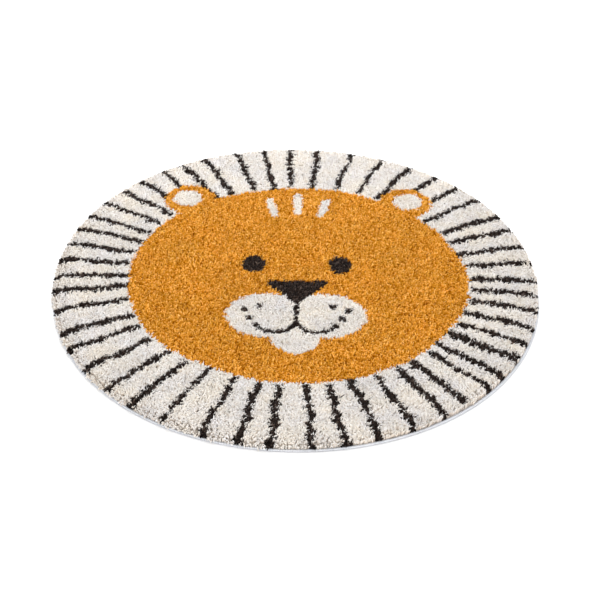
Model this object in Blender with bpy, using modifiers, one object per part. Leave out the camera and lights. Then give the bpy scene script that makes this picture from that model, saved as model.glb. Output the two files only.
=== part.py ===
# A round children's rug, lying flat: a thick cut pile on a woven ground, with a whipped edge.
# Metres, +Z up. The underside lies on z = 0 and the middle of the rug stands on the z axis.

import math

import bpy
import bmesh

# Driving sizes
RUG_DIAMETER = 1.200
RUG_HEIGHT = 0.022
BINDING_WIDTH = 0.006
BINDING_HEIGHT = 0.005
PIECE_GAP = 0.0003

# The rim of the pile: a soft shoulder above its widest line, and a short tuck under it
SHOULDER_WIDTH = 0.014
WIDEST_HEIGHT = 0.0125
WIDEST_INSET = 0.0005
SHOULDER_STEPS = 6
TUCK_STEPS = 3

# The binding's corners: the outer ones are round, as yarn wraps are, and the inner ones nearly square
BINDING_OUTER_CORNER = 0.0022
BINDING_INNER_CORNER = 0.0008
CORNER_STEPS = 4

SEGMENTS_ROUND_RIM = 120
MERGE_DISTANCE = 0.00005

# Slow waves that make the cut outline a little uneven
RIM_WAVES = (
    {"waves_round": 4, "depth": 0.0020, "peak_deg": 48},
    {"waves_round": 3, "depth": 0.0010, "peak_deg": 25},
)
# The waves fade out towards the middle of the rug
WAVE_START_RADIUS = 0.40

RUG_RADIUS = RUG_DIAMETER / 2
BODY_FOOT_RADIUS = RUG_RADIUS - BINDING_WIDTH - PIECE_GAP
PILE_RADIUS = RUG_RADIUS - WIDEST_INSET
TUCK_FOOT_HEIGHT = BINDING_HEIGHT + PIECE_GAP

CREAM = (0.84, 0.80, 0.76, 1.0)
OCHRE = (0.64, 0.25, 0.03, 1.0)
WOOL_ROUGHNESS = 0.95
BINDING_ROUGHNESS = 0.85


def clear_scene():
    for old in list(bpy.data.objects):
        bpy.data.objects.remove(old, do_unlink=True)


def new_collection(name):
    collection = bpy.data.collections.new(name)
    bpy.context.scene.collection.children.link(collection)
    return collection


def yarn_material(name, colour, roughness):
    material = bpy.data.materials.new(name)
    material.use_nodes = True
    shader = material.node_tree.nodes["Principled BSDF"]
    shader.inputs["Base Color"].default_value = colour
    shader.inputs["Roughness"].default_value = roughness
    shader.inputs["Metallic"].default_value = 0.0
    return material


def arc(centre, radii, start_deg, end_deg, steps):
    """Points (r, z) of an elliptic arc in the profile plane, both ends included."""
    points = []
    for i in range(steps + 1):
        angle = math.radians(start_deg + (end_deg - start_deg) * i / steps)
        points.append((centre[0] + radii[0] * math.cos(angle), centre[1] + radii[1] * math.sin(angle)))
    return points


def body_profile():
    """From the middle of the top, over the shoulder and the tuck, to the middle of the underside."""
    shoulder_radius = PILE_RADIUS - SHOULDER_WIDTH
    shoulder = arc(
        (shoulder_radius, WIDEST_HEIGHT),
        (SHOULDER_WIDTH, RUG_HEIGHT - WIDEST_HEIGHT),
        90, 0, SHOULDER_STEPS,
    )
    tuck = arc(
        (BODY_FOOT_RADIUS, WIDEST_HEIGHT),
        (PILE_RADIUS - BODY_FOOT_RADIUS, WIDEST_HEIGHT - TUCK_FOOT_HEIGHT),
        0, -90, TUCK_STEPS,
    )
    return [(0, RUG_HEIGHT)] + shoulder + tuck[1:] + [(BODY_FOOT_RADIUS, 0), (0, 0)]


def binding_profile():
    """The closed section of the whipped edge, down its outer side first."""
    inner = RUG_RADIUS - BINDING_WIDTH
    outer_corner = BINDING_OUTER_CORNER
    inner_corner = BINDING_INNER_CORNER
    top = BINDING_HEIGHT
    points = arc((RUG_RADIUS - outer_corner, top - outer_corner), (outer_corner, outer_corner), 90, 0, CORNER_STEPS)
    points += arc((RUG_RADIUS - outer_corner, outer_corner), (outer_corner, outer_corner), 0, -90, CORNER_STEPS)
    points += [(inner + inner_corner, 0), (inner, inner_corner)]
    points += [(inner, top - inner_corner), (inner + inner_corner, top)]
    return points


def turned_object(name, profile, closed, collection, material):
    """A profile in the XZ plane, turned about the z axis by a Screw modifier."""
    mesh = bpy.data.meshes.new(name)
    bm = bmesh.new()
    verts = [bm.verts.new((r, 0, z)) for r, z in profile]
    for first, second in zip(verts, verts[1:]):
        bm.edges.new((first, second))
    if closed:
        bm.edges.new((verts[-1], verts[0]))
    bm.to_mesh(mesh)
    bm.free()
    obj = bpy.data.objects.new(name, mesh)
    collection.objects.link(obj)
    screw = obj.modifiers.new("turn", "SCREW")
    screw.axis = "Z"
    screw.steps = SEGMENTS_ROUND_RIM
    screw.render_steps = SEGMENTS_ROUND_RIM
    screw.use_merge_vertices = True
    screw.merge_threshold = MERGE_DISTANCE
    mesh.materials.append(material)
    return obj


def applied(obj, collection):
    """Turns the modifier's result into the object's own mesh."""
    depsgraph = bpy.context.evaluated_depsgraph_get()
    mesh = bpy.data.meshes.new_from_object(obj.evaluated_get(depsgraph))
    name = obj.name
    bpy.data.objects.remove(obj, do_unlink=True)
    solid = bpy.data.objects.new(name, mesh)
    collection.objects.link(solid)
    return solid


def rim_offset(angle):
    """How far the cut outline stands out from a true circle in one direction."""
    return sum(
        wave["depth"] * math.cos(wave["waves_round"] * (angle - math.radians(wave["peak_deg"])))
        for wave in RIM_WAVES
    )


def outline_middle():
    """The middle of the box round the uneven outline."""
    angles = [2 * math.pi * i / SEGMENTS_ROUND_RIM for i in range(SEGMENTS_ROUND_RIM)]
    xs = [(RUG_RADIUS + rim_offset(a)) * math.cos(a) for a in angles]
    ys = [(RUG_RADIUS + rim_offset(a)) * math.sin(a) for a in angles]
    return (min(xs) + max(xs)) / 2, (min(ys) + max(ys)) / 2


def make_uneven(obj, middle):
    """Moves the outer points out or in with the rim waves, and stands the rug on its middle."""
    for vertex in obj.data.vertices:
        radius = math.hypot(vertex.co.x, vertex.co.y)
        share = min(max((radius - WAVE_START_RADIUS) / (BODY_FOOT_RADIUS - WAVE_START_RADIUS), 0), 1)
        angle = math.atan2(vertex.co.y, vertex.co.x)
        offset = share * rim_offset(angle)
        vertex.co.x += offset * math.cos(angle) - middle[0]
        vertex.co.y += offset * math.sin(angle) - middle[1]


def smooth(obj, crease_deg):
    obj.data.shade_smooth()
    obj.data.set_sharp_from_angle(angle=math.radians(crease_deg))


def build_rug():
    collection = new_collection("round_rug")
    middle = outline_middle()
    cream = yarn_material("binding_yarn", CREAM, BINDING_ROUGHNESS)
    ochre = yarn_material("pile_wool", OCHRE, WOOL_ROUGHNESS)
    body = applied(turned_object("rug_body", body_profile(), False, collection, ochre), collection)
    binding = applied(turned_object("edge_binding", binding_profile(), True, collection, cream), collection)
    for piece in (body, binding):
        make_uneven(piece, middle)
        smooth(piece, 40)


clear_scene()
build_rug()
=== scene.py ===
import math

import bmesh
import bpy
import numpy as np
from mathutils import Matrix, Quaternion, Vector


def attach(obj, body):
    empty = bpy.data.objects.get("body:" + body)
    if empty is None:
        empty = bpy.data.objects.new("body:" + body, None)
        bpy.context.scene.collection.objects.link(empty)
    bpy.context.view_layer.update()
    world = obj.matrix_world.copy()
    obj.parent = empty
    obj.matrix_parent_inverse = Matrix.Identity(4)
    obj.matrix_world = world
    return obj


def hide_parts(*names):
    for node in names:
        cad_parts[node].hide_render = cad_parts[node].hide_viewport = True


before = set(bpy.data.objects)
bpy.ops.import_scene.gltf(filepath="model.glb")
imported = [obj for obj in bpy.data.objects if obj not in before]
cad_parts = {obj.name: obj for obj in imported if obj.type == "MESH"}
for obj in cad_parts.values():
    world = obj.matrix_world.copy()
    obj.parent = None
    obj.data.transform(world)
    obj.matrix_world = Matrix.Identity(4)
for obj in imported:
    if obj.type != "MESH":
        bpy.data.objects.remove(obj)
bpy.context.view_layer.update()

fullTurn = 2 * math.pi
tiny = 1e-6                     # metres: points nearer than this are one point
creamYarn, ochreYarn, charcoalYarn = 0, 1, 2

rug = {
    "radius": 0.600,            # over the whipped edge, before the rim waves
    "bindingWidth": 0.006,
    "rimWaves": [(4, 0.0020, 48), (3, 0.0010, 25)],   # waves round, depth, first peak in degrees
    "steps": 120,               # the frame's steps round the rim
    "waveStart": 0.40,          # the waves fade out from the rim to this radius
}


# the cut outline of the rug

def rimOffset(angle):
    return sum(depth * np.cos(waves * (angle - math.radians(peak))) for waves, depth, peak in rug["rimWaves"])


def rimMiddle():
    angles = np.linspace(0, fullTurn, rug["steps"], endpoint=False)
    reach = rug["radius"] + rimOffset(angles)
    x, y = reach * np.cos(angles), reach * np.sin(angles)
    return np.array([(x.min() + x.max()) / 2, (y.min() + y.max()) / 2])


middle = rimMiddle()


def toRug(radius, angle):
    # a place on the round plan, moved with the uneven rim, in the frame's metres
    foot = rug["radius"] - rug["bindingWidth"]
    share = np.clip((radius - rug["waveStart"]) / (foot - rug["waveStart"]), 0, 1)
    reach = radius + share * rimOffset(angle)
    return reach * np.cos(angle) - middle[0], reach * np.sin(angle) - middle[1]


# the design: which yarn stands at a place on the plan

lionFace = {
    "head": 0.4065,
    "headWaves": [(1, 0.0050, 65), (2, 0.0120, 0), (5, 0.0020, 20), (8, 0.0016, 65)],   # round, depth, turn
    "ears": {"across": 0.287, "up": 0.326, "radius": 0.068, "inner": 0.037, "innerOut": 0.010},
    "eyes": {"across": 0.108, "up": 0.045, "width": 0.029, "height": 0.036},
    "forelock": {"turnDeg": [-13, 0, 13], "from": 0.270, "to": [0.338, 0.352, 0.338], "half": 0.0105},
    "muzzle": {"across": 0.070, "up": -0.158, "width": 0.098, "height": 0.082},
    "chin": {"up": -0.243, "radius": 0.056},
    "nose": {"up": -0.062, "width": 0.066, "height": 0.062, "corner": 0.016, "steepness": 1.15},
    "stem": {"top": -0.110, "bottom": -0.172, "half": 0.0065},
    "mouth": {"across": 0.050, "up": -0.172, "radius": 0.050, "half": 0.0065, "startDeg": 188, "endDeg": 340},
    "whiskerDots": [(0.088, -0.124), (0.124, -0.138), (0.112, -0.170)],
    "whiskerDot": 0.0095,
}

maneStrokes = {
    "count": 50,
    "firstDeg": 3.7,
    "leadDeg": 3,               # the first stroke's share of the rug begins this far before it
    "spacing": [(2, 3.9, 68), (1, 1.0, 147)],      # waves round, degrees, turn: closer at the sides
    "turnDeg": 0.55,            # how far a stroke is from its even place
    "outer": 0.596,
    "outerSpread": 0.0030,
    "headGap": 0.008,           # a stroke starts up to this far from the head
    "half": 0.0084,             # half the width of a stroke
    "halfSpread": 0.10,         # as a share
    "sidesFuller": 0.10,        # strokes at the sides are wider by this share
    "swing": [(0.0019, 0.130), (0.0011, 0.045), (0.0010, 0.0170)],   # how far it sways, over what length
    "swell": [(0.16, 0.070), (0.16, 0.024), (0.26, 0.0125)],   # by what share its width changes, likewise
    "seed": 41,
}


def inCircle(x, y, atX, atY, radius):
    return (x - atX) ** 2 + (y - atY) ** 2 < radius ** 2


def inOval(x, y, atX, atY, width, height):
    return ((x - atX) / width) ** 2 + ((y - atY) / height) ** 2 < 1


def onLine(x, y, angle, start, end, half):
    # a short line with round ends, pointing away from the middle
    along = x * math.cos(angle) + y * math.sin(angle)
    across = y * math.cos(angle) - x * math.sin(angle)
    return np.hypot(along - np.clip(along, start, end), across) < half


def headReach(angle):
    return lionFace["head"] + sum(
        depth * np.cos(waves * angle + math.radians(turn)) for waves, depth, turn in lionFace["headWaves"])


def onHead(x, y):
    ears = lionFace["ears"]
    onEar = inCircle(abs(x), y, ears["across"], ears["up"], ears["radius"])
    return (np.hypot(x, y) < headReach(np.arctan2(y, x))) | onEar


def onNose(x, y):
    # a triangle on its point, with its corners rounded
    nose = lionFace["nose"]
    corner = nose["corner"]
    width, height = nose["width"] - corner, nose["height"] - corner
    x, y = abs(x), y - nose["up"]
    flank = np.array([height * nose["steepness"], -width])
    flank = flank / np.linalg.norm(flank)
    pastTop = y - height / 2
    pastFlank = (x - width) * flank[0] + (y - height / 2) * flank[1]
    return np.hypot(np.maximum(pastTop, 0), np.maximum(pastFlank, 0)) < corner


def onMouth(x, y):
    mouth, stem = lionFace["mouth"], lionFace["stem"]
    besideX, besideY = abs(x) - mouth["across"], y - mouth["up"]
    turn = np.degrees(np.arctan2(besideY, besideX)) % 360
    onRing = abs(np.hypot(besideX, besideY) - mouth["radius"]) < mouth["half"]
    smile = onRing & (turn > mouth["startDeg"]) & (turn < mouth["endDeg"])
    return smile | ((abs(x) < stem["half"]) & (y < stem["top"]) & (y > stem["bottom"] - stem["half"]))


def onStroke(x, y):
    mane, picks = maneStrokes, np.random.default_rng(maneStrokes["seed"])
    count = mane["count"]
    places = mane["firstDeg"] + np.arange(count) * 360 / count + picks.normal(0, mane["turnDeg"], count)
    for waves, depth, turn in mane["spacing"]:
        places = places + depth * np.sin(np.radians(waves * (places - turn)))
    starts = picks.uniform(0, mane["headGap"], count)
    ends = picks.normal(0, mane["outerSpread"], count)
    fullness = picks.normal(1, mane["halfSpread"], count)
    phases = picks.uniform(0, fullTurn, (2, len(mane["swing"]), count))
    degrees, along = np.degrees(np.arctan2(y, x)), np.hypot(x, y)
    between = (places[1:] + places[:-1]) / 2
    lead = places[0] - mane["leadDeg"]
    stroke = np.searchsorted(between, (degrees - lead) % 360 + lead)
    off = (degrees - places[stroke] + 180) % 360 - 180
    across = along * np.radians(off)
    for n, (depth, length) in enumerate(mane["swing"]):
        across = across - depth * np.sin(fullTurn * along / length + phases[0, n, stroke])
    half = mane["half"] * fullness[stroke] * (1 + mane["sidesFuller"] * np.cos(np.radians(2 * degrees)))
    for n, (share, length) in enumerate(mane["swell"]):
        half = half * (1 + share * np.sin(fullTurn * along / length + phases[1, n, stroke]))
    pastHead = along > headReach(np.radians(degrees)) + starts[stroke]
    return (abs(across) < half) & pastHead & (along < mane["outer"] + ends[stroke])


def yarnAt(x, y):
    face, side = lionFace, abs(x)
    yarn = np.where(onStroke(x, y), charcoalYarn, creamYarn)
    yarn[onHead(x, y)] = ochreYarn
    ears, muzzle, chin = face["ears"], face["muzzle"], face["chin"]
    out = 1 + ears["innerOut"] / math.hypot(ears["across"], ears["up"])
    yarn[inCircle(side, y, ears["across"] * out, ears["up"] * out, ears["inner"])] = creamYarn
    yarn[inOval(side, y, muzzle["across"], muzzle["up"], muzzle["width"], muzzle["height"])] = creamYarn
    yarn[inCircle(side, y, 0, chin["up"], chin["radius"])] = creamYarn
    eyes, forelock = face["eyes"], face["forelock"]
    yarn[inOval(side, y, eyes["across"], eyes["up"], eyes["width"], eyes["height"])] = charcoalYarn
    for turn, end in zip(forelock["turnDeg"], forelock["to"]):
        yarn[onLine(x, y, math.radians(90 + turn), forelock["from"], end, forelock["half"])] = creamYarn
    for across, up in face["whiskerDots"]:
        yarn[inCircle(side, y, across, up, face["whiskerDot"])] = charcoalYarn
    yarn[onNose(x, y) | onMouth(x, y)] = charcoalYarn
    return yarn


# meshes and their objects

def linkPiece(name, mesh):
    piece = bpy.data.objects.new(name, mesh)
    bpy.context.scene.collection.objects.link(piece)
    return piece


def finishPiece(name, bm):
    mesh = bpy.data.meshes.new(name)
    bm.to_mesh(mesh)
    bm.free()
    return linkPiece(name, mesh)


def spinLine(bm, line, edges, steps):
    # spins an open or closed line of edges about the z axis
    bmesh.ops.spin(bm, geom=line + edges, axis=(0, 0, 1), cent=(0, 0, 0), steps=steps, angle=fullTurn,
                   use_merge=True)
    bmesh.ops.remove_doubles(bm, verts=bm.verts[:], dist=tiny)


def closeSheet(bm, height):
    # makes a flat sheet a closed slab: its rim is drawn out to another height and filled
    rim = [edge for edge in bm.edges if edge.is_boundary]
    made = bmesh.ops.extrude_edge_only(bm, edges=rim)["geom"]
    for vert in (item for item in made if isinstance(item, bmesh.types.BMVert)):
        vert.co.z = height
    drawn = [item for item in made if isinstance(item, bmesh.types.BMEdge) and item.is_boundary]
    bmesh.ops.edgeloop_fill(bm, edges=drawn)
    bmesh.ops.recalc_face_normals(bm, faces=bm.faces[:])


def turnedShape(profile, sides):
    # a profile of (width, height) pairs, spun into a small closed shape, as arrays ready to be repeated
    bm = bmesh.new()
    line = [bm.verts.new((width, 0, height)) for width, height in profile]
    edges = [bm.edges.new(pair) for pair in zip(line, line[1:])]
    spinLine(bm, line, edges, sides)
    bmesh.ops.holes_fill(bm, edges=[edge for edge in bm.edges if edge.is_boundary], sides=sides)
    bmesh.ops.recalc_face_normals(bm, faces=bm.faces[:])
    bm.verts.index_update()
    shape = {
        "points": np.array([vert.co for vert in bm.verts]),
        "corners": np.array([loop.vert.index for face in bm.faces for loop in face.loops]),
        "sizes": np.array([len(face.loops) for face in bm.faces]),
    }
    bm.free()
    return shape


# many copies of a shape, joined in one mesh

flatCells = {
    "margin": 0.06,             # free round each copy's cell in the bake map
    "capAcross": (0.25, 0.75),  # where the lower and the upper end cap lie in a cell
    "capShrink": 2.2,           # a cap's outline is made this much smaller first
    "capFill": (0.4, 0.8),      # of the cell's width, and of the strip that is kept for the caps
}


def flatCell(shape, capStrip):
    # lays a shape's faces out flat: across is the way round it, up is from its root to its tip
    flat = np.zeros((len(shape["corners"]), 2))
    start = 0
    for size in shape["sizes"]:
        face = slice(start, start + size)
        points = shape["points"][shape["corners"][face]]
        centre = points.mean(0)
        if np.ptp(points[:, 2]) < tiny:   # an end cap has a small place of its own
            spot = points[:, :2] / (flatCells["capShrink"] * abs(points[:, :2]).max())
            across = flatCells["capAcross"][int(centre[2] > 0.5)]
            wide, high = flatCells["capFill"]
            flat[face] = [across, capStrip / 2] + spot * [wide, capStrip * high]
        else:
            facing = math.atan2(centre[1], centre[0]) / fullTurn
            turn = np.arctan2(points[:, 1], points[:, 0]) / fullTurn - facing
            turn = np.where(np.hypot(points[:, 0], points[:, 1]) < tiny, 0, (turn + 0.5) % 1 - 0.5)
            flat[face, 0] = (facing % 1) + turn
            flat[face, 1] = capStrip + (1 - capStrip) * points[:, 2]
        start += size
    return flat


def addUvMap(mesh, name, places):
    mesh.uv_layers.new(name=name).data.foreach_set("uv", places.astype(np.float32).ravel())


def addNumbers(mesh, name, numbers):
    mesh.attributes.new(name, "FLOAT", "POINT").data.foreach_set("value", numbers.astype(np.float32).ravel())


def joinCopies(name, shape, places, capStrip, shades):
    # places is (copies, points, 3); each copy has one shade, and rise goes from its root to its tip
    copies, count = places.shape[:2]
    mesh = bpy.data.meshes.new(name)
    mesh.vertices.add(copies * count)
    mesh.vertices.foreach_set("co", places.astype(np.float32).ravel())
    corners = (shape["corners"][None] + np.arange(copies)[:, None] * count).ravel()
    mesh.loops.add(len(corners))
    mesh.loops.foreach_set("vertex_index", corners.astype(np.int32))
    starts = np.concatenate([[0], np.cumsum(np.tile(shape["sizes"], copies))[:-1]])
    mesh.polygons.add(len(starts))
    mesh.polygons.foreach_set("loop_start", starts.astype(np.int32))
    mesh.update(calc_edges=True)
    flat = np.repeat(flatCell(shape, capStrip)[None], copies, 0)
    side, margin = math.ceil(math.sqrt(copies)), flatCells["margin"]
    cell = np.stack([np.arange(copies) % side, np.arange(copies) // side], -1)[:, None]
    addUvMap(mesh, "OFBake", (cell + margin + (1 - 2 * margin) * flat) / side)
    addUvMap(mesh, "yarn", flat)
    addNumbers(mesh, "shade", np.repeat(shades[:, None], count, 1))
    addNumbers(mesh, "rise", np.repeat(shape["points"][:, 2][None], copies, 0))
    mesh.shade_smooth()
    return linkPiece(name, mesh)


# the pile: tufts of cut strands that stand in the ground weave, in staggered rows, with their tips bent over

pile = {
    "pitch": 0.0052,            # between tufts in a row; the rows are closer
    "jitter": 0.15,             # of the pitch
    "stray": 0.0014,            # how far a tuft may be from its place in the design
    "foot": 0.0022,             # the strands start inside the ground weave
    "bend": 0.0176,             # the height at which the tips bend over
    "bendSpread": 0.0006,
    "strands": 3,
    "strandTurn": 0.08,         # how uneven the strands stand round their tuft, as a share of their spacing
    "strandOut": 0.0019,        # from the middle of a tuft
    "strandOutSpread": 0.15,    # as a share
    "radius": 0.0019,
    "radiusSpread": 0.18,
    "radiusLimits": (0.7, 1.35),
    "lean": (0.0008, 0.0012),   # how far a tuft leans up to its bend, each way, and its strands besides
    "leanCurve": 1.5,           # the power by which a leaning strand curves
    "comb": (0.0010, 0.0008),   # the way that the whole pile leans
    "swirls": [(0.0008, 0.110, 20), (0.0005, 0.060, 75)],   # lean, length, direction
    "swirlBow": (0.35, 1.7),    # how much the swirls bow, and how much longer a bow is than a swirl
    "swirlSkew": 1.3,           # a swirl's lean up the rug turns faster than its lean across, by this factor
    "tip": (0.0018, 0.0031),    # how far the tips of a tuft lie aside, each way, and each strand's besides
    "tipWay": (0.0012, 0.0014),    # the way that all the tips lie
    "tipRise": (0.0022, 0.0010),   # above the bend, and its spread
    "tipTurn": (0.3, 0.4),      # over what share of its length a strand turns, and how far it has at the bend
    "sides": 3,
    "inner": [(0.0, 0.0), (1.0, 0.78), (0.0, 1.0)],   # width and height of a strand, as shares
    "outer": [(0.90, 0.0), (0.95, 0.45), (1.0, 0.78), (0.8, 0.92), (0.0, 1.0)],
    "capStrip": 0.12,           # the part of a strand's flat map that is kept for its end caps
    "tuftShade": 0.15,          # the share of a strand's shade that it has from its tuft
    "ochreCuts": (0.15, -0.16),    # where the ochre pile is split in pieces, up the rug
    "creamCuts": (0.24, -0.20),    # likewise
    "seed": 7,
}

pileRim = {
    "gap": 0.0030,              # from the binding to the middle of the outermost tufts
    "pitch": 0.0048,
    "clear": 0.8,               # of the pitch, between the outermost tufts and the nearest others
    "jitter": 0.2,              # of the pitch
    "uneven": 0.0005,
    "fullRows": 0.0035,         # strands this near the outermost ones are full down to their roots
    "zone": (0.030, 0.022),     # how far from the rim the pile starts to lean out, and over what length
    "lean": 0.0052,             # outwards, where the pile falls over the binding
    "leanBack": 1.25,           # how much of that lean is taken back where the pile stands back
    "calm": 0.25,               # the share of the other lean that is lost at the rim
    "tipCalm": 0.5,             # likewise for the way that the tips lie
    "sway": 0.0016,             # each way along the rim
    "drop": 0.0038,             # the bend is this much lower at the rim
    "trim": 0.0022,             # no strand's middle reaches nearer than this to the rim, unless it falls
    "standsBack": (-45, 2.6, -1.6),   # the side in degrees, and how steeply and where that fades
    "falls": (245, 1.3, 0.2),   # the side on which single tufts fall over the binding, likewise
    # what a strand gains where it falls over, and how far past the trim it may then reach
    "fall": {"lean": 0.0035, "tip": 0.0050, "bend": -0.0050, "tipRise": -0.0075, "past": 0.0062},
}


def outermostTufts():
    return rug["radius"] - rug["bindingWidth"] - pileRim["gap"]


def tuftFeet():
    # places of the tufts on the round plan, as x and y, with the outermost row of them last
    picks = np.random.default_rng(pile["seed"])
    reach = outermostTufts()
    pitch, rowPitch = pile["pitch"], pile["pitch"] * math.sqrt(3) / 2
    rows, columns = int(reach / rowPitch) + 1, int(reach / pitch) + 2
    row, column = np.meshgrid(np.arange(-rows, rows + 1), np.arange(-columns, columns + 1), indexing="ij")
    x, y = (column + 0.5 * (row % 2)) * pitch, row * rowPitch
    x, y = x.ravel(), y.ravel()
    x = x + picks.normal(0, pile["jitter"] * pitch, len(x))
    y = y + picks.normal(0, pile["jitter"] * pitch, len(y))
    inside = np.hypot(x, y) < reach - pileRim["pitch"] * pileRim["clear"]
    x, y = x[inside], y[inside]
    around = int(fullTurn * reach / pileRim["pitch"])
    jitter = picks.uniform(-pileRim["jitter"], pileRim["jitter"], around)
    angles = (np.arange(around) + jitter) * fullTurn / around
    rimReach = reach + picks.normal(0, pileRim["uneven"], around)
    return np.concatenate([x, rimReach * np.cos(angles)]), np.concatenate([y, rimReach * np.sin(angles)])


def onSide(angle, side):
    # 1 on that side of the rug, fading to 0 round it
    degrees, steepness, start = side
    return np.clip(steepness * np.cos(angle - math.radians(degrees)) + start, 0, 1)


def standsBack(angle):
    # 1 where the binding shows below the pile, and 0 where the pile leans over it
    return onSide(angle, pileRim["standsBack"])


def rimFall(angle):
    # how far the outermost tufts fall over the binding
    return onSide(angle, pileRim["falls"]) * (1 - standsBack(angle))


def nearRim(radius):
    inwards, length = pileRim["zone"]
    return np.clip((radius - (rug["radius"] - inwards)) / length, 0, 1)


def tuftLean(x, y, picks):
    lean = picks.normal(0, pile["lean"][0], (len(x), 2)) + pile["comb"]
    bow, stretch = pile["swirlBow"]
    for depth, length, direction in pile["swirls"]:
        way = math.radians(direction)
        along = x * math.cos(way) + y * math.sin(way)
        across = y * math.cos(way) - x * math.sin(way)
        swirl = fullTurn * (along / length + bow * np.sin(fullTurn * across / length / stretch))
        lean += depth * np.stack([np.cos(swirl), np.sin(swirl * pile["swirlSkew"])], -1)
    angle, rim = np.arctan2(y, x), nearRim(np.hypot(x, y))
    outward = pileRim["lean"] * rim * (1 - pileRim["leanBack"] * standsBack(angle))
    sideways = pileRim["sway"] * rim * picks.normal(0, 1, len(x))
    leanX = outward * np.cos(angle) - sideways * np.sin(angle)
    leanY = outward * np.sin(angle) + sideways * np.cos(angle)
    return lean * (1 - pileRim["calm"] * rim)[:, None] + np.stack([leanX, leanY], -1)


def unit(ways):
    return ways / np.linalg.norm(ways, axis=-1, keepdims=True)


def bentStrands(shape, feet, lean, tip, bend, tipRise, radius, turn):
    # stands each copy up along its lean and lays its tip over: the copies' points as (copies, points, 3)
    rise = shape["points"][:, 2][None, :, None]
    elbow, curve = pile["inner"][1][1], pile["leanCurve"]
    up, over = np.minimum(rise / elbow, 1), np.maximum(rise - elbow, 0) / (1 - elbow)
    bend, tipRise = bend[:, None, None], tipRise[:, None, None]
    lean, tip = lean[:, None], tip[:, None]
    flatCentre = feet[:, None] + lean * up ** curve + tip * over
    centre = np.concatenate([flatCentre, pile["foot"] + bend * up + tipRise * over], -1)
    length, turned = pile["tipTurn"]
    tipTurn = np.clip((rise - elbow) / length + turned, 0, 1)
    standing = unit(np.concatenate([curve * lean, bend], -1))
    lying = unit(np.concatenate([tip, tipRise], -1))
    ahead = unit(standing * (1 - tipTurn) + lying * tipTurn)
    # sideways and across are square to the strand's own way, and its ring of points is set along them
    aheadX, aheadY, aheadZ = ahead[..., 0], ahead[..., 1], ahead[..., 2]
    sideways = unit(np.stack([1 - aheadX ** 2, -aheadX * aheadY, -aheadX * aheadZ], -1))
    across = np.cross(ahead, sideways)
    points = shape["points"]
    around = (np.arctan2(points[:, 1], points[:, 0])[None] + turn[:, None])[..., None]
    wide = (np.hypot(points[:, 0], points[:, 1])[None] * radius[:, None])[..., None]
    return centre + wide * (np.cos(around) * sideways + np.sin(around) * across)


def plantTufts(picks):
    # a value for each tuft
    x, y = tuftFeet()
    count = len(x)
    stray = picks.normal(0, pile["stray"], (2, count))
    return {
        "x": x,
        "y": y,
        "yarn": yarnAt(x + stray[0], y + stray[1]),
        "shade": picks.uniform(0, 1, count),
        "lean": tuftLean(x, y, picks),
        "slack": picks.uniform(0, 1, count),
        "tip": picks.normal(0, pile["tip"][0], (count, 2)) + pile["tipWay"],
        "turn": picks.uniform(0, fullTurn, count),
    }


def splitTufts(tufts, picks):
    # the same values for each strand, set beside the middle of its tuft, and how each strand is bent
    perTuft = pile["strands"]
    strands = {key: np.repeat(value, perTuft, 0) for key, value in tufts.items()}
    count = len(strands["x"])
    uneven = picks.normal(0, pile["strandTurn"], count)
    turn = strands["turn"] + fullTurn * (np.arange(count) % perTuft + uneven) / perTuft
    out = pile["strandOut"] * picks.normal(1, pile["strandOutSpread"], count)
    x, y = strands["x"] + out * np.cos(turn), strands["y"] + out * np.sin(turn)
    radius, angle = np.hypot(x, y), np.arctan2(y, x)
    rim = nearRim(radius)
    strands.update(x=x, y=y, radius=radius, angle=angle, rim=rim)
    tip, height = strands["tip"], pile["bend"] - pile["foot"]
    thin, thick = pile["radiusLimits"]
    bends = {
        "feet": np.stack(toRug(radius, angle), -1),
        "lean": strands["lean"] + picks.normal(0, pile["lean"][1], (count, 2)),
        "tip": (tip + picks.normal(0, pile["tip"][1], (count, 2))) * (1 - pileRim["tipCalm"] * rim)[:, None],
        "bend": height + picks.normal(0, pile["bendSpread"], count) - pileRim["drop"] * rim ** 2,
        "tipRise": picks.normal(*pile["tipRise"], count),
        "radius": pile["radius"] * np.clip(picks.normal(1, pile["radiusSpread"], count), thin, thick),
        "turn": picks.uniform(0, fullTurn, count),
    }
    return strands, bends


def fallOver(strands, bends):
    # single tufts fall over the binding, and the tips of the others stay inside the rim
    radius = strands["radius"]
    outward = np.stack([strands["x"], strands["y"]], -1) / radius[:, None]
    fall = rimFall(strands["angle"]) * strands["rim"] ** 4 * strands["slack"]
    for key in ("lean", "tip"):
        bends[key] = bends[key] + (pileRim["fall"][key] * fall)[:, None] * outward
    for key in ("bend", "tipRise"):
        bends[key] = bends[key] + pileRim["fall"][key] * fall
    rimReach = rug["radius"] - pileRim["trim"] + pileRim["fall"]["past"] * fall
    past = radius + ((bends["lean"] + bends["tip"]) * outward).sum(-1) - rimReach
    bends["tip"] = bends["tip"] - np.maximum(past, 0)[:, None] * outward


def pileParts(strands):
    # which strands belong to each piece
    yarn, y = strands["yarn"], strands["y"]
    outer = strands["radius"] > outermostTufts() - pileRim["fullRows"]
    brow, cheeks = pile["ochreCuts"]
    far, near = pile["creamCuts"]
    ochre, cream, charcoal = yarn == ochreYarn, yarn == creamYarn, yarn == charcoalYarn
    return {
        "pile_ochre_brow": ochre & (y >= brow),
        "pile_ochre_eyes": ochre & (y < brow) & (y >= cheeks),
        "pile_ochre_cheeks": ochre & (y < cheeks),
        "pile_cream_far": cream & ~outer & (y >= far),
        "pile_cream_sides": cream & ~outer & (y < far) & (y >= near),
        "pile_cream_near": cream & ~outer & (y < near),
        "pile_charcoal": charcoal & ~outer,
        "pile_cream_rim": cream & outer,
        "pile_charcoal_rim": charcoal & outer,
    }


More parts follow.
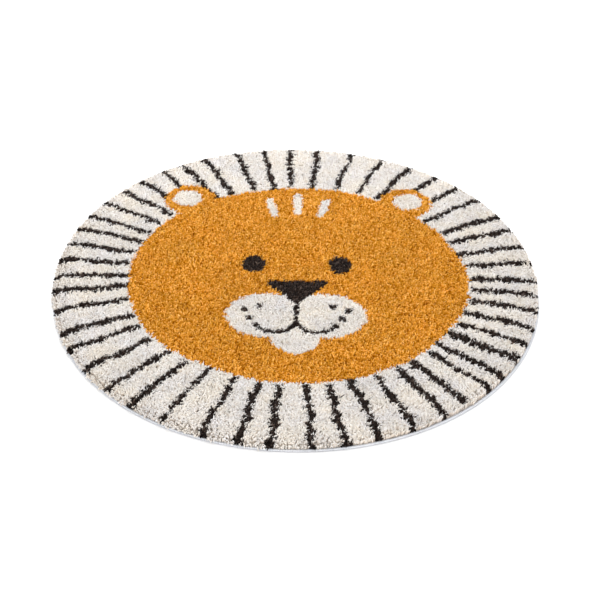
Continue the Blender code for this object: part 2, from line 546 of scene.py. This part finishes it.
def makePile():
    picks = np.random.default_rng(pile["seed"] + 1)
    tufts = plantTufts(picks)
    strands, bends = splitTufts(tufts, picks)
    fallOver(strands, bends)
    ownShade = picks.uniform(0, 1, len(strands["x"]))
    shade = pile["tuftShade"] * strands["shade"] + (1 - pile["tuftShade"]) * ownShade
    shapes = {kind: turnedShape(pile[kind], pile["sides"]) for kind in ("inner", "outer")}
    pieces, triangles = {}, 0
    for name, mine in pileParts(strands).items():
        shape = shapes["outer" if name.endswith("_rim") else "inner"]
        places = bentStrands(shape, **{key: value[mine] for key, value in bends.items()})
        pieces[name] = joinCopies(name, shape, places, pile["capStrip"], shade[mine])
        mineTriangles = int(mine.sum() * (shape["sizes"] - 2).sum())
        triangles += mineTriangles
        print(name, mine.sum(), "strands,", mineTriangles, "triangles")
    print("pile", len(tufts["x"]), "tufts,", triangles, "triangles")
    return pieces


# the packed feet of the tufts: up to this height no gap is left between them

packed = {
    "height": 0.0085,
    "uneven": 0.0007,
    "bottom": 0.0030,
    "rimIn": 0.0115,            # from the rug's rim
    "cells": 130,               # across
    "seed": 5,
}


def makePackedFeet():
    picks = np.random.default_rng(packed["seed"])
    reach = rug["radius"] - packed["rimIn"]
    bm = bmesh.new()
    bmesh.ops.create_grid(bm, x_segments=packed["cells"], y_segments=packed["cells"], size=1)
    for vert in bm.verts:   # the square grid becomes round
        x, y = vert.co.x, vert.co.y
        vert.co.x, vert.co.y = reach * x * math.sqrt(1 - y * y / 2), reach * y * math.sqrt(1 - x * x / 2)
    centres = np.array([face.calc_center_median()[:2] for face in bm.faces])
    layer = bm.faces.layers.float.new("yarn")
    for face, kind in zip(bm.faces, yarnAt(centres[:, 0], centres[:, 1])):
        face[layer] = kind
    heights = packed["height"] + packed["uneven"] * picks.normal(0, 1, len(bm.verts))
    for vert, height in zip(bm.verts, heights):
        place = toRug(vert.co.xy.length, math.atan2(vert.co.y, vert.co.x))
        vert.co = (place[0], place[1], height)
    closeSheet(bm, packed["bottom"])
    piece = finishPiece("packed_feet", bm)
    piece.data.shade_smooth()
    print("packed feet", len(piece.data.polygons), "faces")
    return piece


# the ground weave: a thin round sheet with its weft rows as low ridges underneath

weave = {
    "top": 0.0030,
    "radius": 0.5925,
    "rowPitch": 0.0060,
    "rowDepth": 0.0005,
    "stepsAcross": 6,
    "stepsPerRow": 4,
    "endGap": 0.6,              # of a step, from the first and last rows to the rim
}


def makeWeave():
    steps = int(2 * weave["radius"] / weave["rowPitch"]) * weave["stepsPerRow"]
    bm = bmesh.new()
    bmesh.ops.create_grid(bm, x_segments=weave["stepsAcross"], y_segments=steps, size=1)
    for vert in bm.verts:   # the square grid becomes round, row by row
        y = vert.co.y * (1 - weave["endGap"] / steps)
        half = math.sqrt(1 - y * y)
        x, y = vert.co.x * half * weave["radius"], y * weave["radius"]
        place = toRug(math.hypot(x, y), math.atan2(y, x))
        ridge = 0.5 - 0.5 * math.cos(fullTurn * y / weave["rowPitch"])
        vert.co = (place[0], place[1], weave["rowDepth"] * ridge)
    bmesh.ops.reverse_faces(bm, faces=bm.faces[:])
    closeSheet(bm, weave["top"])
    return finishPiece("ground_weave", bm)


# the whipped edge: a core cord, wrapped all round with cream yarn

whipping = {
    "wraps": 1060,
    "wrapJitter": 0.05,         # of their spacing
    "yarn": 0.00108,            # radius
    "yarnSpread": 0.05,         # as a share
    "yarnWidth": 1.45,          # a wrap is pressed this much wider than it is thick
    "uneven": 0.00012,          # how far a wrap stands in or out
    "path": [(-0.0074, 0.0036), (-0.0048, 0.0041), (-0.0022, 0.0039), (-0.0010, 0.0027),
             (-0.0022, 0.0014), (-0.0070, 0.0014)],   # past the rim, height
    "slant": 0.0026,            # along the rim, from the top of a wrap to its foot
    "sides": 4,
    "capStrip": 0.10,
    "core": [(-0.0064, 0.0036), (-0.0028, 0.0036), (-0.0018, 0.0026), (-0.0028, 0.0012), (-0.0064, 0.0012)],
    "coreSteps": 240,
    "seed": 23,
}


def makeWraps():
    picks = np.random.default_rng(whipping["seed"])
    path, count = np.array(whipping["path"]), whipping["wraps"]
    last = len(path) - 1
    shape = turnedShape([(1.0, n / last) for n in range(len(path))], whipping["sides"])
    points = shape["points"]
    ring = np.rint(points[:, 2] * last).astype(int)   # each point's place on the path
    along = unit(np.gradient(path, axis=0))
    side = np.stack([-along[:, 1], along[:, 0]], -1)
    thick = whipping["yarn"] * picks.normal(1, whipping["yarnSpread"], count)[:, None]
    ahead, beside = points[:, 0][None] * thick, points[:, 1][None] * thick
    uneven = picks.normal(0, whipping["uneven"], count)[:, None]
    past = path[ring, 0][None] + side[ring, 0][None] * ahead + uneven
    up = path[ring, 1][None] + side[ring, 1][None] * ahead
    angles = (np.arange(count) + picks.normal(0, whipping["wrapJitter"], count)) * fullTurn / count
    slant = whipping["slant"] * (points[:, 2] - 0.5)[None]
    turn = angles[:, None] + (beside * whipping["yarnWidth"] + slant) / rug["radius"]
    x, y = toRug(rug["radius"] + past, turn)
    places = np.stack([x, y, up], -1)
    return joinCopies("edge_whipping", shape, places, whipping["capStrip"], picks.uniform(0, 1, count))


def makeCore():
    bm = bmesh.new()
    line = [bm.verts.new((rug["radius"] + past, 0, height)) for past, height in whipping["core"]]
    edges = [bm.edges.new(pair) for pair in zip(line, line[1:] + line[:1])]
    spinLine(bm, line, edges, whipping["coreSteps"])
    bmesh.ops.recalc_face_normals(bm, faces=bm.faces[:])
    for vert in bm.verts:
        vert.co.x, vert.co.y = toRug(math.hypot(vert.co.x, vert.co.y), math.atan2(vert.co.y, vert.co.x))
    return finishPiece("edge_core", bm)


# what the materials have in common

fibreNoise = {"Detail": 3.0, "Roughness": 0.6}


def newMaterial(name):
    material = bpy.data.materials.new(name)
    material.use_nodes = True
    tree = material.node_tree
    return material, tree, tree.nodes["Principled BSDF"]


def addNode(tree, kind, settings=None, **links):
    # a node with its settings, and its inputs linked or set by name, or by number as in0, in1
    node = tree.nodes.new(kind)
    for key, value in (settings or {}).items():
        setattr(node, key, value)
    for key, value in links.items():
        socket = node.inputs[int(key[2:])] if key.startswith("in") and key[2:].isdigit() else node.inputs[key]
        if isinstance(value, bpy.types.NodeSocket):
            tree.links.new(value, socket)
        else:
            socket.default_value = value
    return node


def addRamp(tree, factor, stops):
    ramp = addNode(tree, "ShaderNodeValToRGB", in0=factor)
    elements = ramp.color_ramp.elements
    while len(elements) < len(stops):
        elements.new(0.5)
    for element, (place, colour) in zip(elements, stops):
        element.position = place
        element.color = (*colour, 1)
    return ramp.outputs["Color"]


def addRange(tree, value, made, taken=(0.0, 1.0)):
    # moves a value from the range taken to the range made
    node = addNode(tree, "ShaderNodeMapRange", Value=value)
    for name, limit in zip(("From Min", "From Max", "To Min", "To Max"), (*taken, *made)):
        node.inputs[name].default_value = limit
    return node.outputs[0]


def addProduct(tree, first, second):
    return addNode(tree, "ShaderNodeVectorMath", {"operation": "MULTIPLY"}, in0=first, in1=second).outputs[0]


def addNoise(tree, place, scale, **settings):
    return addNode(tree, "ShaderNodeTexNoise", Vector=place, Scale=scale, **settings).outputs["Fac"]


def placeOf(tree):
    return addNode(tree, "ShaderNodeTexCoord").outputs["Object"]


def numberOf(tree, name):
    return addNode(tree, "ShaderNodeAttribute", {"attribute_name": name}).outputs["Fac"]


def addMath(tree, operation, first, second):
    return addNode(tree, "ShaderNodeMath", {"operation": operation}, in0=first, in1=second).outputs[0]


def dressCloth(tree, shader, look, colour, heights, fibres):
    # what every cloth surface of the rug has: colour, bump, an uneven roughness and a low shine
    strength, distance = look["bump"]
    bump = addNode(tree, "ShaderNodeBump", Height=heights, Strength=strength, Distance=distance)
    tree.links.new(colour, shader.inputs["Base Color"])
    tree.links.new(bump.outputs["Normal"], shader.inputs["Normal"])
    tree.links.new(addRange(tree, fibres, look["roughness"]), shader.inputs["Roughness"])
    shader.inputs["Specular IOR Level"].default_value = look["shine"]


# the yarns' colours and fibres: tones go from the darkest strands to the lightest, depth is painted shade and
# light from root to tip, or on the binding from a wrap's top to its foot, and softness spreads the light, as
# fuzzy yarn does

yarnColours = {
    "cream": {
        "tones": [(0.0, (0.62, 0.54, 0.475)), (0.08, (0.765, 0.722, 0.674)), (0.30, (0.795, 0.764, 0.726)),
                  (0.75, (0.808, 0.786, 0.762)), (1.0, (0.82, 0.805, 0.786))],
        # painted shade: cream strands are painted darker and warmer towards their roots, most on the pile's
        # side at the rim
        "depth": [(0.15, (0.66, 0.59, 0.53)), (0.62, (1.02, 0.945, 0.87)), (0.92, (0.985, 0.985, 0.985))],
        "warm": (1.019, 1.004, 0.964), "cool": (0.983, 0.997, 1.035), "sheen": 0.25, "softness": 1.0,
    },
    "ochre": {
        "tones": [(0.0, (0.197, 0.0515, 0.0006)), (0.20, (0.507, 0.180, 0.0035)),
                  (0.5, (0.725, 0.337, 0.031)), (0.80, (0.88, 0.452, 0.082)), (1.0, (0.99, 0.62, 0.168))],
        # painted shade and highlight: ochre strands are painted darker and more saturated towards their
        # roots, and paler at their lit tips
        "depth": [(0.62, (0.77, 0.50, 0.10)), (0.84, (0.98, 0.92, 0.72)), (0.97, (1.0, 1.08, 1.6))],
        "warm": (1.01, 0.99, 0.97), "cool": (0.99, 1.01, 1.03), "sheen": 0.0, "softness": 1.0,
    },
    "charcoal": {
        "tones": [(0.0, (0.0044, 0.0024, 0.0019)), (0.5, (0.0157, 0.0086, 0.0063)),
                  (0.8, (0.039, 0.0240, 0.0182)), (1.0, (0.165, 0.122, 0.100))],
        # painted shade: charcoal strands are painted darker towards their roots
        "depth": [(0.62, (0.6, 0.6, 0.6)), (0.92, (1.0, 1.0, 1.0))],
        "warm": (1.05, 1.0, 0.95), "cool": (0.95, 1.0, 1.05), "sheen": 0.05, "softness": 0.0,
    },
    "binding": {
        "tones": [(0.0, (0.735, 0.750, 0.785)), (0.3, (0.790, 0.806, 0.845)), (1.0, (0.820, 0.836, 0.875))],
        # painted shade: the lower part of each wrap, down to its foot on the floor, is painted grey
        "depth": [(0.50, (1.0, 1.0, 1.0)), (0.72, (0.42, 0.42, 0.45))],
        "warm": (1.01, 1.0, 0.99), "cool": (0.99, 1.0, 1.01), "sheen": 0.10, "softness": 0.0,
    },
}

yarnLook = {
    "fibreScale": 900.0,
    "fibreTaken": (0.3, 0.7),
    "fibreLight": (0.88, 1.08),
    "patchScale": 9.0,          # wide patches, lighter and darker
    "patchTaken": (0.35, 0.65),
    "patchLight": (0.95, 1.03),
    "hueScale": 19.0,           # smaller patches, warmer and cooler
    "hueTaken": (0.34, 0.66),
    "twistScale": 1.6,
    "twistWander": 0.6,
    "bump": (0.5, 0.0004),      # strength, distance
    "roughness": (0.82, 1.0),
    "shine": 0.02,
    "sheenRoughness": 0.45,
}


def yarnMaterial(name, yarn):
    material, tree, shader = newMaterial(name)
    look, place = yarnLook, placeOf(tree)
    fibres = addNoise(tree, place, look["fibreScale"], **fibreNoise)
    patches = addNoise(tree, place, look["patchScale"], Detail=2.0)
    hues = addNoise(tree, place, look["hueScale"], **fibreNoise)
    tone = addRamp(tree, numberOf(tree, "shade"), yarn["tones"])
    # painted shade and light along each strand, by its rise from root to tip
    depth = addRamp(tree, numberOf(tree, "rise"), yarn["depth"])
    hue = addRamp(tree, hues, list(zip(look["hueTaken"], (yarn["cool"], yarn["warm"]))))
    patchLight = addRange(tree, patches, look["patchLight"], look["patchTaken"])
    fibreLight = addRange(tree, fibres, look["fibreLight"], look["fibreTaken"])
    shadedTint = addProduct(tree, addProduct(tree, tone, depth), hue)
    colour = addNode(tree, "ShaderNodeVectorMath", {"operation": "SCALE"}, in0=shadedTint,
                     Scale=addMath(tree, "MULTIPLY", patchLight, fibreLight))
    wayRound = addNode(tree, "ShaderNodeUVMap", {"uv_map": "yarn"}).outputs["UV"]
    twist = addNode(tree, "ShaderNodeTexWave", {"wave_type": "BANDS", "bands_direction": "DIAGONAL"},
                    Vector=wayRound, Scale=look["twistScale"], Distortion=look["twistWander"])
    heights = addMath(tree, "ADD", twist.outputs["Fac"], fibres)
    dressCloth(tree, shader, look, colour.outputs[0], heights, fibres)
    shader.inputs["Diffuse Roughness"].default_value = yarn["softness"]
    shader.inputs["Sheen Weight"].default_value = yarn["sheen"]
    shader.inputs["Sheen Roughness"].default_value = look["sheenRoughness"]
    return material


packedLook = {
    # painted shade: these yarn colours are darker than the pile's own, for the shade deep between the tufts
    "yarns": [(0.0, (0.70, 0.62, 0.54)), (0.2, (0.435, 0.148, 0.005)), (0.6, (0.015, 0.012, 0.010))],
    "yarnStep": 0.4,            # from one yarn's number to the next, along those places
    "fibreScale": 420.0,
    "fibreTaken": (0.3, 0.7),
    "fibreLight": (0.6, 1.05),
    "bump": (0.6, 0.001),
    "roughness": (0.85, 1.0),
    "shine": 0.04,
}


def packedMaterial():
    material, tree, shader = newMaterial("packed_feet")
    look = packedLook
    fibres = addNoise(tree, placeOf(tree), look["fibreScale"], **fibreNoise)
    kind = addMath(tree, "MULTIPLY", numberOf(tree, "yarn"), look["yarnStep"])
    base = addRamp(tree, kind, look["yarns"])
    base.node.color_ramp.interpolation = "CONSTANT"
    light = addRange(tree, fibres, look["fibreLight"], look["fibreTaken"])
    colour = addNode(tree, "ShaderNodeVectorMath", {"operation": "SCALE"}, in0=base, Scale=light)
    dressCloth(tree, shader, look, colour.outputs[0], fibres, fibres)
    return material


weaveLook = {
    "colours": [(0.25, (0.36, 0.29, 0.21)), (0.7, (0.60, 0.52, 0.41)), (1.0, (0.74, 0.68, 0.58))],
    "weftScale": 52.0,
    "warpScale": 75.0,
    "wander": 0.4,
    "fibreScale": 700.0,
    "bump": (0.6, 0.0006),
    "roughness": (0.80, 1.0),
    "shine": 0.15,
}


def weaveMaterial():
    material, tree, shader = newMaterial("ground_weave")
    look, place = weaveLook, placeOf(tree)
    weft, warp = (
        addNode(tree, "ShaderNodeTexWave", {"bands_direction": way}, Vector=place, Scale=look[scale],
                Distortion=look["wander"]).outputs["Fac"]
        for way, scale in (("Y", "weftScale"), ("X", "warpScale")))
    fibres = addNoise(tree, place, look["fibreScale"], Detail=3.0)
    heights = addMath(tree, "ADD", addMath(tree, "MULTIPLY", weft, warp), fibres)
    dressCloth(tree, shader, look, addRamp(tree, heights, look["colours"]), heights, fibres)
    return material


# putting the rug together

pilePieces = makePile()
packedFeet = makePackedFeet()
groundWeave = makeWeave()
edgeWraps = makeWraps()
edgeCore = makeCore()
print("rug pieces modelled")

materials = {name: yarnMaterial("yarn_" + name, yarn) for name, yarn in yarnColours.items()}
for name, piece in pilePieces.items():
    piece.data.materials.append(materials[name.split("_")[1]])
edgeWraps.data.materials.append(materials["binding"])
edgeCore.data.materials.append(materials["binding"])
packedFeet.data.materials.append(packedMaterial())
groundWeave.data.materials.append(weaveMaterial())
print("materials made")

for piece in (groundWeave, packedFeet, *pilePieces.values()):
    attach(piece, "root")
    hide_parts("rug_body")
for piece in (edgeWraps, edgeCore):
    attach(piece, "root")
    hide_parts("edge_binding")


# the room: a pale floor, soft light and the camera

studio = {
    "floorSize": 30.0,
    "floorColour": (0.93, 0.93, 0.93, 1),
    "floorRoughness": 0.9,
    "floorShine": 0.1,
    "skyColour": (1.0, 1.0, 1.0, 1),
    "skyStrength": 1.09,
    "lamps": {
        "key": {"place": (0.0, 1.35, 1.6), "size": 1.8, "power": 50.0},
        "fill": {"place": (-0.15, -1.7, 1.1), "size": 1.5, "power": 9.4},
    },
    "cameraPlace": (-0.0025, -2.5604, 1.9573),
    "cameraAim": (0.0100, -0.0732, 0.0),
    "cameraRollDeg": 1.16,
    "lens": 77.85,
    "sensor": 36.0,
}


def turnTo(way):
    return way.to_track_quat("-Z", "Y")


def makeFloor():
    bm = bmesh.new()
    bmesh.ops.create_grid(bm, x_segments=1, y_segments=1, size=studio["floorSize"] / 2)
    floor = finishPiece("floor", bm)
    material, _, shader = newMaterial("floor_paint")
    shader.inputs["Base Color"].default_value = studio["floorColour"]
    shader.inputs["Roughness"].default_value = studio["floorRoughness"]
    shader.inputs["Specular IOR Level"].default_value = studio["floorShine"]
    floor.data.materials.append(material)


def makeLights():
    scene = bpy.context.scene
    scene.world = bpy.data.worlds.new("soft_sky")
    scene.world.use_nodes = True
    sky = scene.world.node_tree.nodes["Background"]
    sky.inputs["Color"].default_value = studio["skyColour"]
    sky.inputs["Strength"].default_value = studio["skyStrength"]
    for name, settings in studio["lamps"].items():
        lamp = bpy.data.lights.new(name, "AREA")
        lamp.shape = "DISK"
        lamp.size = settings["size"]
        lamp.energy = settings["power"]
        light = linkPiece(name, lamp)
        light.location = settings["place"]
        light.rotation_euler = turnTo(-Vector(settings["place"])).to_euler()   # towards the rug's middle


def makeCamera():
    camera = linkPiece("camera", bpy.data.cameras.new("camera"))
    place, aim = Vector(studio["cameraPlace"]), Vector(studio["cameraAim"])
    roll = Quaternion((0, 0, 1), math.radians(studio["cameraRollDeg"]))
    camera.location = place
    camera.rotation_euler = (turnTo(aim - place) @ roll).to_euler()
    camera.data.lens = studio["lens"]
    camera.data.sensor_width = studio["sensor"]
    bpy.context.scene.camera = camera


makeFloor()
makeLights()
makeCamera()
bpy.context.scene.view_settings.view_transform = "Standard"
print("studio ready")
